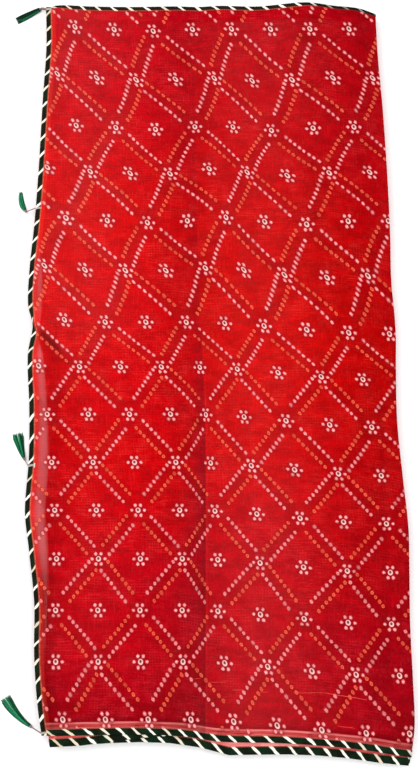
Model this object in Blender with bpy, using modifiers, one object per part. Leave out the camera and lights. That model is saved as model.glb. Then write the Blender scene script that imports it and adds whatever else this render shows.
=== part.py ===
"""Folded kota doria sari: ten layers of sheer printed cloth, striped edge bindings and four green tassels.

The long side of the folded cloth lies along Y, the short side along X, and it rests on the plane z = 0.
Lengths in the tables are millimetres; the scene is in metres.
"""

import math

import bmesh
import bpy
from mathutils import Vector

MM = 0.001

# Cloth and folds
LAYERS = 10
TOP = LAYERS - 1
CLOTH_THICK = 1.0
LAYER_PITCH = 1.7
LOFT_PER_LAYER = 0.22
FOLD_REACH = 1.4
TURN_STEPS = 3

# Bindings
BIND_THICK = 1.0
LOWER_BIND_WIDTH = 10.0
UPPER_BIND_WIDTH = 7.0
END_BIND_WIDTH = 8.0
SEAM_GAP = 0.4

# Overhang of the top layer past the folds below it
DROOP_CURVE = 0.010
DROOP_LIMIT = 7.0
LIP_LEAST = 16.0

# Sides of the folded cloth, from the lower edge (0) to the upper edge (1).
# under is how far the left folds of the lower layers stay back from the left edge of the top layer.
SIDES = (
    dict(up=0.00, left=-237, right=297, under=12),
    dict(up=0.04, left=-244, right=303, under=12),
    dict(up=0.10, left=-250, right=302, under=14),
    dict(up=0.17, left=-252, right=300, under=19),
    dict(up=0.24, left=-262, right=301, under=27),
    dict(up=0.29, left=-269, right=301, under=29),
    dict(up=0.36, left=-265, right=294, under=29),
    dict(up=0.43, left=-266, right=288, under=28),
    dict(up=0.50, left=-270, right=288, under=25),
    dict(up=0.54, left=-263, right=289, under=9),
    dict(up=0.57, left=-271, right=288, under=20),
    dict(up=0.62, left=-270, right=284, under=20),
    dict(up=0.68, left=-264, right=284, under=7),
    dict(up=0.76, left=-259, right=282, under=5),
    dict(up=0.86, left=-255, right=277, under=5),
    dict(up=0.94, left=-251, right=271, under=4),
    dict(up=1.00, left=-253, right=269, under=4),
)

# Long edges of the top layer across the folded cloth, and how far the second visible edge lies below the first.
EDGES = (
    dict(across=0.00, lower=-545, upper=577, second=16),
    dict(across=0.06, lower=-545, upper=580, second=14),
    dict(across=0.14, lower=-544, upper=578, second=12),
    dict(across=0.27, lower=-543, upper=577, second=11),
    dict(across=0.40, lower=-546, upper=578, second=13),
    dict(across=0.47, lower=-552, upper=577, second=19),
    dict(across=0.53, lower=-554, upper=579, second=18),
    dict(across=0.65, lower=-555, upper=578, second=16),
    dict(across=0.79, lower=-560, upper=585, second=14),
    dict(across=0.88, lower=-565, upper=579, second=15),
    dict(across=0.95, lower=-571, upper=575, second=14),
    dict(across=1.00, lower=-575, upper=566, second=12),
)

# One row per layer, bottom layer first: how far each layer has slipped down along Y at its left end,
# middle and right end, and how far its folds stay back at the left and right.
FOLDS = (
    dict(slip_left=9, slip_middle=10, slip_right=8, back_left=9, back_right=3),
    dict(slip_left=11, slip_middle=9, slip_right=8, back_left=4, back_right=3),
    dict(slip_left=11, slip_middle=8, slip_right=10, back_left=4, back_right=5),
    dict(slip_left=8, slip_middle=9, slip_right=10, back_left=1, back_right=5),
    dict(slip_left=8, slip_middle=11, slip_right=9, back_left=1, back_right=2),
    dict(slip_left=10, slip_middle=8, slip_right=9, back_left=3, back_right=2),
    dict(slip_left=10, slip_middle=9, slip_right=12, back_left=3, back_right=4),
    dict(slip_left=16, slip_middle=14, slip_right=12, back_left=0, back_right=4),
    dict(slip_left=16, slip_middle=0, slip_right=0, back_left=0, back_right=0),
    dict(slip_left=0, slip_middle=0, slip_right=0, back_left=0, back_right=0),
)
SECOND_EDGE = 7
SLIDING_LAYER = 8
TUCK = 1.2

# Soft creases and swells of the pile: from one point to another, half width and height at the top layer.
CREASES = (
    dict(name="centre crease", x0=1, y0=0, x1=1, y1=-560, half=30, high=-1.7),
    dict(name="upper centre crease", x0=-12, y0=330, x1=-2, y1=10, half=34, high=-0.8),
    dict(name="left swell", x0=-130, y0=-420, x1=-150, y1=300, half=95, high=1.2),
    dict(name="right swell", x0=120, y0=-440, x1=150, y1=380, half=100, high=1.4),
    dict(name="right roll", x0=300, y0=-560, x1=275, y1=560, half=42, high=-1.6),
    dict(name="low hem", x0=-230, y0=-545, x1=290, y1=-570, half=48, high=-1.1),
    dict(name="upper roll", x0=-250, y0=584, x1=270, y1=580, half=48, high=-1.3),
)

# Grid lines of the modelled cloth, as fractions across a layer and up its width
ACROSS = (0.0, 0.04, 0.09, 0.18, 0.29, 0.40, 0.48, 0.55, 0.67, 0.79, 0.90, 1.0)
UP = (0.0, 0.04, 0.10, 0.17, 0.24, 0.30, 0.40, 0.50, 0.54, 0.57, 0.64, 0.75, 0.87, 0.95, 1.0)

# Tassels: height of the root on the left edge, then the head, and the middle and end of the skirt on the floor.
# spread is the width of the skirt at its end.
TASSELS = (
    dict(name="tassel_upper_corner", root=573, head=(-263, 583), middle=(-284, 576.5), end=(-300, 562), spread=9.0),
    dict(name="tassel_upper_side", root=251, head=(-279, 252), middle=(-285, 264), end=(-288, 279), spread=5.0),
    dict(name="tassel_lower_side", root=-152, head=(-273, -140), middle=(-279, -123), end=(-284, -103), spread=13.0),
    dict(name="tassel_lower_corner", root=-541, head=(-255, -532), middle=(-275, -516), end=(-292, -493), spread=13.0),
)
THREAD_WIDTH = 1.0
ROOT_CLEARANCE = 0.2
HEAD_WIDTH = 5.2
HEAD_HEIGHT = 3.8
HEAD_LENGTH = 7.5
FLOOR_GAP = 0.05
STRANDS_WIDE = 6
STRANDS_HIGH = 3
STRAND_RADIUS = dict(root=0.28, end=0.42)
STRAND_STEPS = 4
ROOT_SPACING = 0.8
END_RISE = 0.95

COLOURS = dict(
    cloth=(0.62, 0.012, 0.020, 1.0),
    binding=(0.006, 0.040, 0.022, 1.0),
    tassel=(0.004, 0.125, 0.060, 1.0),
)
ROUGHNESS = dict(cloth=0.85, binding=0.55, tassel=0.45)


def clear_scene():
    """Start from an empty scene."""
    for obj in list(bpy.data.objects):
        bpy.data.objects.remove(obj, do_unlink=True)


def smooth_value(table, key, column, at):
    """Value of one table column at a position, on a smooth curve through the rows."""
    last = len(table) - 1
    at = min(max(at, table[0][key]), table[last][key])
    i = 0
    while i < last - 1 and table[i + 1][key] < at:
        i += 1
    low = table[max(i - 1, 0)]
    a = table[i]
    b = table[i + 1]
    high = table[min(i + 2, last)]
    span = b[key] - a[key]
    slope_a = (b[column] - low[column]) / (b[key] - low[key])
    slope_b = (high[column] - a[column]) / (high[key] - a[key])
    f = (at - a[key]) / span
    return (
        a[column] * (1 + 2 * f) * (1 - f) ** 2
        + slope_a * span * f * (1 - f) ** 2
        + b[column] * f * f * (3 - 2 * f)
        - slope_b * span * f * f * (1 - f)
    )


def soft(f):
    """Ease from 0 to 1."""
    f = min(max(f, 0.0), 1.0)
    return f * f * (3 - 2 * f)


def slip(layer, across):
    """How far a layer has slipped down at a fraction across it."""
    row = FOLDS[layer]
    if layer == SECOND_EDGE:
        return smooth_value(EDGES, "across", "second", across)
    if layer == SLIDING_LAYER:
        gone = soft(across / 0.42)
        back = soft((across - 0.8) / 0.2)
        return row["slip_left"] * (1 - gone) + row["slip_middle"] * gone * (1 - back)
    if across < 0.5:
        return row["slip_left"] + (row["slip_middle"] - row["slip_left"]) * soft(2 * across)
    return row["slip_middle"] + (row["slip_right"] - row["slip_middle"]) * soft(2 * across - 1)


def tuck(layer, across):
    """Lower layers lie a little narrower than the top one between their folds."""
    return 0.0 if layer in (TOP, SECOND_EDGE) else TUCK * math.sin(math.pi * across)


def lower_edge(layer, across):
    return smooth_value(EDGES, "across", "lower", across) - slip(layer, across) + tuck(layer, across)


def upper_edge(layer, across):
    return smooth_value(EDGES, "across", "upper", across) - slip(layer, across) - tuck(layer, across)


def left_edge(layer, up):
    """Outer X of the left side of a layer."""
    x = smooth_value(SIDES, "up", "left", up)
    if layer == TOP:
        return x
    return x + smooth_value(SIDES, "up", "under", up) + FOLDS[layer]["back_left"] + FOLD_REACH


def right_edge(layer, up):
    """X where the right side of a layer meets its fold."""
    return smooth_value(SIDES, "up", "right", up) - FOLDS[layer]["back_right"] - FOLD_REACH


def swell(x, y):
    """Height that the creases and swells give the top layer."""
    total = 3.0
    for row in CREASES:
        run = Vector((row["x1"] - row["x0"], row["y1"] - row["y0"]))
        rel = Vector((x - row["x0"], y - row["y0"]))
        f = min(max(rel.dot(run) / run.length_squared, 0.0), 1.0)
        away = (rel - run * f).length / row["half"]
        total += row["high"] * math.exp(-away * away)
    return max(total, 0.0)


def layer_point(layer, across, y_of, inset=0.0):
    """Point on the middle surface of a layer. y_of gives Y from the layer's lower and upper edge there."""
    low = lower_edge(layer, across)
    high = upper_edge(layer, across)
    y = y_of(low, high)
    up = (y - low) / (high - low)
    left = left_edge(layer, up)
    start = left + inset
    if layer == TOP:
        # the first grid line inside the edge lies over the folds below
        lip = left + max(smooth_value(SIDES, "up", "under", up), LIP_LEAST)
        inner = max(across - ACROSS[1], 0.0) / (1 - ACROSS[1])
        x = start + (lip - start) * min(across / ACROSS[1], 1.0) + (right_edge(layer, up) - lip) * inner
    else:
        x = start + (right_edge(layer, up) - start) * across
    loft = LAYER_PITCH + LOFT_PER_LAYER * swell(x, y) / 3.0
    z = CLOTH_THICK / 2 + layer * loft
    if layer == TOP:
        past = left_edge(TOP - 1, up) - FOLD_REACH - x
        if past > 0:
            z -= min(DROOP_CURVE * past * past, DROOP_LIMIT)
    return Vector((x, y, z))


def turn_point(layer, side, angle, y_of, inset=0.0):
    """Point on the fold that joins a layer to the one above it, at the left (0) or right (1)."""
    a = layer_point(layer, side, y_of, 0.0)
    b = layer_point(layer + 1, side, y_of, inset if layer + 1 == TOP and side == 0 else 0.0)
    radius = (b.z - a.z) / 2
    middle = (a + b) / 2
    outward = 1 if side else -1
    return Vector((
        middle.x + outward * radius * math.sin(angle),
        middle.y,
        middle.z - radius * math.cos(angle),
    ))


def fold_stations(across_lines):
    """Stations along the whole folded length: the flat runs of the layers and the turns between them."""
    stations = []
    for layer in range(LAYERS):
        run = across_lines if layer % 2 == 0 else tuple(reversed(across_lines))
        for across in run:
            stations.append(("flat", layer, across))
        if layer < TOP:
            side = 1 if layer % 2 == 0 else 0
            for step in range(1, TURN_STEPS):
                stations.append(("turn", layer, side, math.pi * step / TURN_STEPS))
    return stations


def station_point(station, y_of, inset=0.0):
    if station[0] == "flat":
        _, layer, across = station
        return layer_point(layer, across, y_of, inset if layer == TOP else 0.0)
    _, layer, side, angle = station
    return turn_point(layer, side, angle, y_of)


def cloth_rule(up):
    """Y of a grid line of the cloth between the two long bindings."""
    below = LOWER_BIND_WIDTH + SEAM_GAP
    above = UPPER_BIND_WIDTH + SEAM_GAP
    return lambda low, high: low + below + (high - above - low - below) * up


def folded_grid(name, columns, rows, point, thick):
    """Grid primitive laid on the folded path, thickened evenly on both sides."""
    mesh = bpy.data.meshes.new(name)
    bm = bmesh.new()
    bmesh.ops.create_grid(bm, x_segments=columns - 1, y_segments=rows - 1, size=0.5)
    for vert in bm.verts:
        column = round((vert.co.x + 0.5) * (columns - 1))
        row = round((vert.co.y + 0.5) * (rows - 1))
        vert.co = point(column, row) * MM
    bmesh.ops.recalc_face_normals(bm, faces=bm.faces)
    bm.to_mesh(mesh)
    bm.free()
    obj = bpy.data.objects.new(name, mesh)
    solid = obj.modifiers.new("thickness", "SOLIDIFY")
    solid.thickness = thick * MM
    solid.offset = 0.0
    solid.use_even_offset = True
    return obj


def make_cloth():
    stations = fold_stations(ACROSS)
    rules = [cloth_rule(up) for up in UP]

    def point(column, row):
        return station_point(stations[column], rules[row], END_BIND_WIDTH + SEAM_GAP)

    return folded_grid("sari_cloth", len(stations), len(UP), point, CLOTH_THICK)


def make_long_binding(name, lower):
    """Tape along one long edge; it follows every layer and every fold."""
    stations = fold_stations(ACROSS)
    if lower:
        rules = [lambda low, high: low, lambda low, high: low + LOWER_BIND_WIDTH]
    else:
        rules = [lambda low, high: high - UPPER_BIND_WIDTH, lambda low, high: high]

    def point(column, row):
        at_end = column == len(stations) - 1
        return station_point(stations[column], rules[row], 0.0 if at_end else END_BIND_WIDTH + SEAM_GAP)

    return folded_grid(name, len(stations), 2, point, BIND_THICK)


def make_end_binding():
    """Tape across the decorated end of the top layer, between the two long bindings."""
    rules = [cloth_rule(up) for up in UP]

    def point(column, row):
        return layer_point(TOP, 0.0, rules[row], END_BIND_WIDTH * column)

    return folded_grid("end_binding", 2, len(UP), point, BIND_THICK)


def side_point(y):
    """Point on the modelled outer edge of the end binding at a given Y."""
    rules = [lambda low, high: low]
    rules += [cloth_rule(up) for up in UP]
    rules += [lambda low, high: high]
    points = [layer_point(TOP, 0.0, rule) for rule in rules]
    i = 0
    while i < len(points) - 2 and points[i + 1].y < y:
        i += 1
    return points[i].lerp(points[i + 1], (y - points[i].y) / (points[i + 1].y - points[i].y))


def bent(start, middle, end, f):
    """Point on the even curve through three points."""
    a = (1 - f) * (1 - 2 * f)
    b = 4 * f * (1 - f)
    c = f * (2 * f - 1)
    return start * a + middle * b + end * c


def tube(name, paths, radii, sides_step):
    """Closed tubes from bevelled curves, as one mesh object."""
    curve = bpy.data.curves.new(name, "CURVE")
    curve.dimensions = "3D"
    curve.bevel_depth = 1.0
    curve.bevel_resolution = sides_step
    curve.use_fill_caps = True
    for path in paths:
        spline = curve.splines.new("POLY")
        spline.points.add(len(path) - 1)
        for target, point, radius in zip(spline.points, path, radii):
            target.co = (*(point * MM), 1.0)
            target.radius = radius * MM
    holder = bpy.data.objects.new(name, curve)
    bpy.context.scene.collection.objects.link(holder)
    bpy.context.view_layer.update()
    ready = holder.evaluated_get(bpy.context.evaluated_depsgraph_get())
    mesh = bpy.data.meshes.new_from_object(ready)
    bpy.data.objects.remove(holder, do_unlink=True)
    bpy.data.curves.remove(curve)
    bm = bmesh.new()
    bm.from_mesh(mesh)
    bmesh.ops.remove_doubles(bm, verts=bm.verts, dist=0.001 * MM)
    bmesh.ops.recalc_face_normals(bm, faces=bm.faces)
    bm.to_mesh(mesh)
    bm.free()
    return bpy.data.objects.new(name, mesh)


def strand_paths(row):
    """Paths of the strands of one skirt, apart from each other from the root to the end."""
    flat = [Vector((*row[key], 0.0)) for key in ("head", "middle", "end")]
    paths = []
    for i in range(STRANDS_WIDE):
        for j in range(STRANDS_HIGH):
            path = []
            for step in range(STRAND_STEPS + 1):
                f = step / STRAND_STEPS
                here = bent(*flat, f)
                ahead = bent(*flat, f + 0.01) - bent(*flat, f - 0.01)
                side = Vector((-ahead.y, ahead.x, 0.0)).normalized()
                spacing = ROOT_SPACING + (row["spread"] / STRANDS_WIDE - ROOT_SPACING) * f
                radius = STRAND_RADIUS["root"] + (STRAND_RADIUS["end"] - STRAND_RADIUS["root"]) * f
                root_rise = HEAD_HEIGHT / 2 + FLOOR_GAP + (j - (STRANDS_HIGH - 1) / 2) * ROOT_SPACING
                rest_rise = radius + FLOOR_GAP + j * END_RISE
                rise = root_rise + (rest_rise - root_rise) * soft(2 * f)
                path.append(here + side * spacing * (i - (STRANDS_WIDE - 1) / 2) + Vector((0.0, 0.0, rise)))
            paths.append(path)
    return paths


def make_tassel(row, tools):
    """One tassel: thread, wrapped head and skirt, joined into one body."""
    name = row["name"]
    mesh = bpy.data.meshes.new(name)
    bm = bmesh.new()
    bmesh.ops.create_uvsphere(bm, u_segments=12, v_segments=7, radius=0.5)
    bmesh.ops.scale(bm, vec=Vector((HEAD_WIDTH, HEAD_HEIGHT, HEAD_LENGTH)) * MM, verts=bm.verts)
    bm.to_mesh(mesh)
    bm.free()
    head = bpy.data.objects.new(name, mesh)
    centre = Vector((*row["head"], HEAD_HEIGHT / 2 + FLOOR_GAP))
    run = Vector((*row["middle"], 0.0)) - Vector((*row["head"], 0.0))
    head.location = centre * MM
    head.rotation_euler = (math.pi / 2, 0.0, math.atan2(run.y, run.x) - math.pi / 2)

    root = side_point(row["root"]) - Vector((SEAM_GAP + THREAD_WIDTH / 2 + ROOT_CLEARANCE, 0.0, 0.0))
    knee = root + (centre - root) * 0.35 + Vector((0.0, 0.0, 1.5))
    thread = tube(name + "_thread", [[root, knee, centre]], [THREAD_WIDTH / 2] * 3, 1)
    ends = STRAND_RADIUS["root"], STRAND_RADIUS["end"]
    radii = [ends[0] + (ends[1] - ends[0]) * i / STRAND_STEPS for i in range(STRAND_STEPS + 1)]
    strands = tube(name + "_strands", strand_paths(row), radii, 0)
    for cutter in (strands, thread):
        tools.objects.link(cutter)
        cutter.hide_render = True
        cutter.display_type = "WIRE"
        join = head.modifiers.new("join", "BOOLEAN")
        join.operation = "UNION"
        join.solver = "EXACT"
        join.object = cutter
    return head


def material(name):
    """Plain surface with the colour and roughness of one of the materials."""
    made = bpy.data.materials.new(name)
    made.use_nodes = True
    shader = made.node_tree.nodes["Principled BSDF"]
    shader.inputs["Base Color"].default_value = COLOURS[name]
    shader.inputs["Roughness"].default_value = ROUGHNESS[name]
    shader.inputs["Metallic"].default_value = 0.0
    made.diffuse_color = COLOURS[name]
    return made


def place(obj, collection, surface):
    collection.objects.link(obj)
    obj.data.materials.clear()
    obj.data.materials.append(surface)


def build():
    clear_scene()
    sari = bpy.data.collections.new("kota doria sari")
    tools = bpy.data.collections.new("joined shapes")
    for collection in (sari, tools):
        bpy.context.scene.collection.children.link(collection)

    cloth_surface = material("cloth")
    binding_surface = material("binding")
    tassel_surface = material("tassel")
    place(make_cloth(), sari, cloth_surface)
    place(make_long_binding("lower_edge_binding", True), sari, binding_surface)
    place(make_long_binding("upper_edge_binding", False), sari, binding_surface)
    place(make_end_binding(), sari, binding_surface)
    for row in TASSELS:
        place(make_tassel(row, tools), sari, tassel_surface)


build()
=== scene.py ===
"""Folded kota doria sari: sheer printed cloth in ten layers, striped bindings and green thread tassels."""

import math
from functools import partialmethod, reduce
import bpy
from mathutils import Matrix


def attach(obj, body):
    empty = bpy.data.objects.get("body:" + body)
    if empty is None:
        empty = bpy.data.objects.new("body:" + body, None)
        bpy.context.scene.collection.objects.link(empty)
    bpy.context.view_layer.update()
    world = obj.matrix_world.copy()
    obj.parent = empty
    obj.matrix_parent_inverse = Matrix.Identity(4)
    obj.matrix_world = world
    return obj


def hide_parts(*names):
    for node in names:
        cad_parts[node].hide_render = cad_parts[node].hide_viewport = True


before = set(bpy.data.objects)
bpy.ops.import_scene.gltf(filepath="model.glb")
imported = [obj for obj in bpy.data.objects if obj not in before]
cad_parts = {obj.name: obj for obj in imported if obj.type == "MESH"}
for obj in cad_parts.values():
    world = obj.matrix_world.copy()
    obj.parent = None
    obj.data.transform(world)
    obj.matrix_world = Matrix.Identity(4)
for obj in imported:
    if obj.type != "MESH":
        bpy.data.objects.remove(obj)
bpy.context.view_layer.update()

from types import SimpleNamespace as Group

import bmesh
import bpy
import numpy as np
from mathutils import Vector

MM = 0.001


def columns(names, *rows):
    """Columns of a table of numbers, each an array under its name."""
    return Group(**dict(zip(names.split(), np.array(rows, dtype=float).T)))


def table(names, *rows):
    """Rows of a table, each with its values under the names of the columns."""
    return [Group(**dict(zip(names.split(), row))) for row in rows]


def srgb(*screen):
    """Linear colour of a screen colour given from 0 to 255."""
    shares = np.array(screen) / 255.0
    linear = np.where(shares <= 0.04045, shares / 12.92, ((shares + 0.055) / 1.055) ** 2.4)
    return (*linear.tolist(), 1.0)


def palette(**colours):
    return Group(**{name: srgb(*colour) for name, colour in colours.items()})


# Camera, at the angle of the photo
VIEW_TILT = math.radians(10.0)
VIEW_DISTANCE = 2.128
VIEW_AIM = (0.005, -0.026)
LENS = 43.75
SENSOR = 24.0
# Even light from all sides, and two square lamps aimed at the middle, in metres and watts
WORLD_LIGHT = 1.10
LAMPS = table(
    "name place size power",
    ("key", (-1.4, 0.9, 1.7), 1.6, 20.0),
    ("fill", (1.4, -1.0, 2.2), 2.2, 15.0),
)

# Cloth and folds, in millimetres
LAYERS = 10
TOP = LAYERS - 1
CLOTH_THICK = 1.0
LAYER_PITCH = 1.7
LOFT_PER_LAYER = 0.22
SWELL_BASE = 3.0
FOLD_REACH = 1.4
TURN_STEPS = 4
LIP_SHARE = 0.04
LIP_LEAST = 16.0
# Spans of the top layer from its left edge: start, end and number of columns
TOP_SPANS = (
    (0.0, LIP_SHARE, 9), (LIP_SHARE, 0.435, 64), (0.435, 0.495, 34), (0.495, 0.985, 78), (0.985, 1.0, 9),
)
LOWER_COLUMNS = 13
ROWS = 226
HEM_ROWS = 34
HEM_SPAN = 0.06

LOWER_BIND_WIDTH = 10.0
UPPER_BIND_WIDTH = 7.0
END_BIND_WIDTH = 8.0
CLOTH_UNDER_TAPE = Group(lower=2.5, upper=4.6, end=2.5)
HIDDEN_TAPE_SHARE = 1.2
TAPE_JOIN = 0.4
PINCH = Group(up=0.545, half=0.011, share=0.85)

DROOP_CURVE = 0.010
DROOP_LIMIT = 7.0

# Left and right side of the top layer at shares of the height, and how far the turn below stays in
SIDES = columns(
    "up left right under",
    (0.00, -237, 297, 12), (0.04, -244, 303, 12), (0.10, -250, 302, 14), (0.17, -252, 300, 19),
    (0.24, -262, 301, 27), (0.29, -269, 301, 29), (0.36, -265, 294, 29), (0.43, -266, 288, 28),
    (0.50, -270, 288, 25), (0.54, -263, 289, 9), (0.57, -271, 288, 20), (0.62, -270, 284, 20),
    (0.68, -264, 284, 7), (0.76, -259, 282, 5), (0.86, -255, 277, 5), (0.94, -251, 271, 4),
    (1.00, -253, 269, 4),
)
# Lower and upper edge at shares of the width, and how far the second lower edge slips below the first
EDGES = columns(
    "across lower upper second",
    (0.00, -545, 577, 16), (0.06, -545, 580, 14), (0.14, -544, 578, 12), (0.27, -543, 577, 11),
    (0.40, -546, 578, 13), (0.47, -552, 577, 19), (0.53, -554, 579, 18), (0.65, -555, 578, 16),
    (0.79, -560, 585, 14), (0.88, -565, 579, 15), (0.95, -571, 575, 14), (1.00, -575, 566, 12),
)
# Slip and set-back of each layer, from the lowest up
FOLDS = columns(
    "slip_left slip_middle slip_right back_left back_right",
    (9, 10, 8, 9, 3), (11, 9, 8, 4, 3), (11, 8, 10, 4, 5), (8, 9, 10, 1, 5), (8, 11, 9, 1, 2),
    (10, 8, 9, 3, 2), (10, 9, 12, 3, 4), (16, 14, 12, 0, 4), (16, 0, 0, 0, 0), (0, 0, 0, 0, 0),
)
SECOND_EDGE = 7
SLIDING_LAYER = 8
SLIDE_SHARE = 0.42
TUCK = 1.2

# The tables of soft lines hold X and Y of both ends, half width and height
# Broad creases and swells of the pile, shared by all layers
CREASES = (
    (1, 0, 1, -560, 30, -1.7),  # centre crease
    (-12, 330, -2, 10, 34, -0.8),  # upper centre crease
    (-130, -420, -150, 300, 95, 1.2),  # left swell
    (120, -440, 150, 380, 100, 1.4),  # right swell
    (300, -560, 275, 560, 42, -1.6),  # right roll
    (-230, -545, 290, -570, 48, -1.1),  # low hem
    (-250, 584, 270, 580, 48, -1.3),  # upper roll
)
# Fine troughs and ridges of the top layer alone
FINE_CREASES = (
    (1, -90, 2, -552, 1.7, 0.55),  # pressed line
    (-8, -40, -7, -545, 5, -0.75),  # fold beside the line
    (-60, -60, -55, -480, 24, 0.9),  # wide lift left of the fold
    (34, -60, 36, -500, 20, 0.7),  # wide lift right of the line
    (-66, 520, -60, 60, 22, 0.6),  # upper soft ridge
    (-30, 540, -22, 60, 14, -0.5),  # upper soft trough
    (190, 420, 205, -420, 16, -0.6),  # right soft trough
    (222, 420, 236, -420, 14, 0.6),  # right soft ridge
    (-69, -406, -98, -462, 3.4, -0.6),  # long wrinkle
    (-98, -462, -102, -496, 3.4, -0.5),  # its end
    (-264, 70, -228, 40, 4.5, -0.8),  # pinch fold
    (-262, 82, -222, 56, 4.5, 0.9),  # rim of the pinch fold
    (-262, 96, -256, 190, 9, 1.0),  # edge swell above the pinch
    (-256, -20, -246, -300, 9, 0.8),  # edge swell low
    # puckers above the lower edge
    (-132, -513, -121, -524, 3, 0.7), (-116, -508, -104, -522, 3, 0.8), (82, -529, 92, -540, 3, 0.7),
    (114, -529, 125, -541, 3, 0.7), (138, -528, 148, -541, 3, 0.7), (187, -531, 198, -544, 3, 0.7),
    (214, -534, 223, -548, 3, 0.7), (262, -542, 274, -554, 3, 0.7),
)
# Fine creases start and are full at these distances from the edges
CREASE_ENDS = Group(lower=(10, 22), upper=(8, 22), right=(6, 18))
HEM_RIDGE = Group(centre=7.2, half=1.9, high=0.6)

# Painted light and shade: brightest at a middle height, darker and leaning to crimson towards both ends
TONE = Group(middle=64.0, reach=600.0, light=0.865, drop=0.137, crimson=0.90, crimson_full=1.13)
# Painted sheen where the cloth catches the light
SHEEN_PATCHES = (
    (-200, 560, -190, 100, 95, 0.021),  # upper left
    (-170, -400, -160, -60, 60, 0.005),  # left side, low
    (85, -560, 85, -220, 70, 0.005),  # low, right of the fold
)
# Soft shading left by the folds and by old creases, as a share of the light
SHADES = (
    (-28, 600, -28, -600, 44, -0.16),  # valley beside the centre fold
    (62, 600, 70, 120, 48, -0.07),  # right of the centre, upper half
    (310, 600, 310, -600, 150, -0.26),  # right half
    (-232, -560, -232, -60, 40, -0.06),  # low left side
    (-232, -540, -232, 60, 15, -0.16),  # beside the single layer
    (-236, -540, -240, -320, 18, -0.16),  # edge, low left
    (160, 560, 165, 140, 50, -0.08),  # upper right
    (244, 560, 256, -560, 26, -0.04),  # right side
    (-230, -515, -40, -520, 45, -0.17),  # above the low left hem
    (-240, 575, 260, 575, 15, -0.10),  # under the upper edge
    (230, 570, 262, 520, 26, -0.08),  # upper right corner
    (-262, 62, -222, 24, 3.6, -0.48),  # pinch fold
    (-250, 44, -214, 10, 11, -0.14),  # shade of the pinch fold
    (-256, 72, -214, 38, 4, 0.10),  # crest of the pinch fold
    (262, -30, 266, -520, 4, -0.06),  # old crease, low right
    (272, -120, 277, -520, 5, 0.06),  # pale line beside it
    (-150, 190, -90, -200, 60, 0.03),  # left middle
)
# The pressed fold line, with painted shade of dark crimson on its left and a painted highlight along it
PRESSED_LINE = columns(
    "y x dark",
    (-560, 1, 0.30), (-400, 1, 0.40), (-200, 1, 0.45), (-76, 0, 0.36), (80, -8, 0.19), (300, -15, 0.13),
    (560, -20, 0.00),
)
LINE_SHADE = Group(start=2.4, reach=13.0, crimson=3.0, veil=1.6)
GLINT = Group(share=0.35, ends=(60, -20), x=-0.7, half=1.3, veil=0.06)
# Painted light through the single layer by the end binding, a break at the pinch, a bright place lower down
SINGLE = Group(
    widen=3.0, widen_ends=(-60, -260), ease=5.0, low_end=(-350, -290), break_share=0.85, break_at=(50, 20),
    wave=0.15, wave_length=23, bright_share=0.30, bright_at=(-250, 40),
)
# Shade at the right turn, which fades out towards the upper edge
RIM_SHADE = Group(share=0.35, reach=2.2, ends=(260, -40))
# Painted light and sheen of the layers below; their lower edges show palest right of the fold line
UNDER_TONE = Group(light=0.92, x=75.0, half=85.0, veil=0.56, least=0.07)
PANEL_FOOT = -555.0
PANEL_HEIGHT = 1130.0
# Least and greatest distance from the end that the cloth's map holds
FROM_END_LIMITS = (-5.0, 400.0)

# Printed lattice: rows of flowers from the upper edge down, with the X of one flower of each
PRINT_ROWS = columns(
    "row y column_x",
    (-1, 622, -243), (1, 458, -171), (2, 377, -140), (3, 304, -117), (5, 147, -61), (6, 66, -30),
    (7, -3, -10), (9, -148, 8), (11, -291, 18), (12, -366, 18), (13, -440, 28), (15, -606, 54),
)
# The rows hang towards the right, the pressed line takes up some cloth, and the right side is drawn out
ROW_HANG = Group(reach=20.0, across=(-30.0, 270.0), down=(250.0, 0.0))
TAKE_UP = Group(reach=9.5, across=(12.0, -32.0), down=(110.0, -110.0), gone=(-455.0, -380.0))
DRAWN_OUT = Group(reach=7.0, across=(40.0, 290.0), down=(-60.0, -180.0))
# Smaller bends of the print, up and sideways
PRINT_SAG = (
    (-252, 600, -258, 60, 50, 8),  # left edge, upper part
    (-90, 560, -75, 230, 50, -4),  # upper left
    (10, 340, 22, 150, 38, 6),  # right of the centre
    (95, 460, 160, 150, 50, -6),  # upper right
)
PRINT_SHIFT = (
    (95, 420, 80, -80, 75, -5),  # right half, upper part
    (-250, 320, -250, 210, 35, -5),  # left edge
)
COLUMN_PITCH = 61.8
ROW_PITCH = 76.0
# The columns sway from row to row, which fades out between two rows
ROW_SWAY = -3.5
SWAY_ENDS = (5.0, 8.0)

# Print motifs, in millimetres
PETAL_SIDE = 9.5
PETAL_PAIR = (3.9, 7.8)
PETAL_RADIUS = 2.6
FLOWER_SQUASH = 0.88
RING_RADIUS = 3.6
HEART_RADIUS = 2.0
DOT_RADIUS = 2.52
DOT_STRETCH = 1.15
LINE_OFFSET = 8.0
DOTS_PER_LINE = 8
DOT_STEP = 0.085

# Step and half width of the thick yarns of the check and of the fine yarns, in metres
CHECK_ACROSS = (0.0040, 0.0010)
CHECK_ALONG = (0.0042, 0.0009)
FINE_ACROSS = (0.0010, 0.00028)
FINE_ALONG = (0.00105, 0.00028)
# Marks of the hem above the lower binding and of the line beside the end binding: the distances at
# which each starts, is full, fades and is gone, in metres
HEM_TOP = 0.0092
HEM_BAND = (0.0, 0.0006, 0.008, HEM_TOP)
# the raised line of the hem and its edge by the binding carry painted highlights; painted shade lies above
# the hem
HEM_HIGHLIGHT = (0.0054, 0.0066, 0.008, HEM_TOP)
HEM_EDGE_HIGHLIGHT = (-0.0004, 0.0004, 0.001, 0.0022)
HEM_SHADE = (0.0088, 0.01, 0.0105, 0.018)
END_LINE = (-0.0004, 0.0003, 0.0007, 0.0016)
# Distances below the upper end of the cloth where its hem starts and is full
UPPER_HEM = (0.024, 0.020)

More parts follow.
